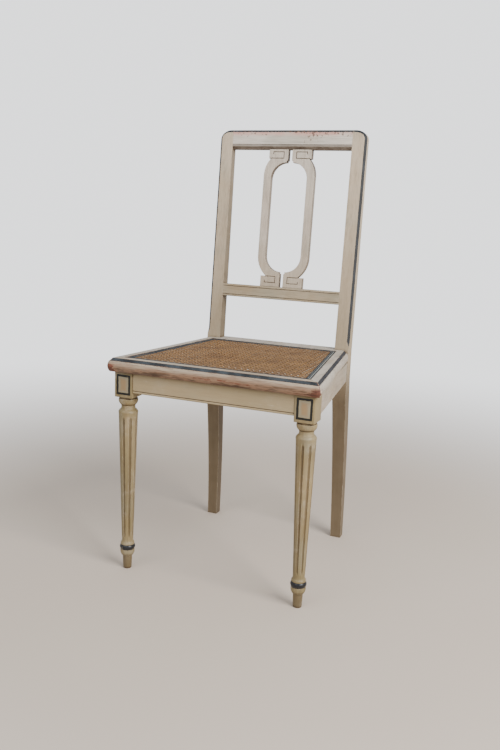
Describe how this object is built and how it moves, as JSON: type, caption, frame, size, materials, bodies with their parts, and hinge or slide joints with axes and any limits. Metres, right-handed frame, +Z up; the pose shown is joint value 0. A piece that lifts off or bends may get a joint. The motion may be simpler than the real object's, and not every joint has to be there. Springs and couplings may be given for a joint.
{
  "type": "side chair",
  "caption": "Painted neoclassical side chair with fluted turned front legs, raked square back, pierced scroll splat and woven cane seat.",
  "frame": {"origin": "middle of the overall box, on the floor the chair stands on", "axes": "+X to the right of someone who faces the chair, +Y from the front edge of the seat to the back, +Z up"},
  "size_m": [0.448, 0.421, 0.9245],
  "materials": {
    "leg_paint": "worn satin paint",
    "apron_paint": "worn satin paint",
    "back_paint": "worn satin paint",
    "splat_paint": "worn satin paint",
    "seat_paint": "worn satin paint",
    "blue_paint": "worn satin paint",
    "cane": "woven cane, satin",
    "bare_wood": "bare, matt",
    "screw_steel": "dull, aged"
  },
  "bodies": {
    "root": {"front_leg_right": "leg_paint", "front_leg_left": "leg_paint", "front_apron": "apron_paint", "side_apron_right": "apron_paint", "side_apron_left": "apron_paint", "rear_apron": "apron_paint", "back_post_right": "back_paint", "back_post_left": "back_paint", "crest_rail": "back_paint", "lower_back_rail": "back_paint", "splat_right": "splat_paint", "splat_left": "splat_paint", "seat_frame_front": "seat_paint", "seat_frame_side_right": "seat_paint", "seat_frame_side_left": "seat_paint", "seat_frame_back": "seat_paint", "cane_spline_front": "blue_paint", "cane_spline_side_right": "blue_paint", "cane_spline_side_left": "blue_paint", "cane_spline_back": "blue_paint", "cane_panel": "cane", "corner_block_front_right": "bare_wood", "corner_block_front_left": "bare_wood", "corner_block_back_right": "bare_wood", "corner_block_back_left": "bare_wood", "screw_front_right": "screw_steel", "screw_front_left": "screw_steel", "screw_back_right": "screw_steel", "screw_back_left": "screw_steel"}
  },
  "joints": []
}
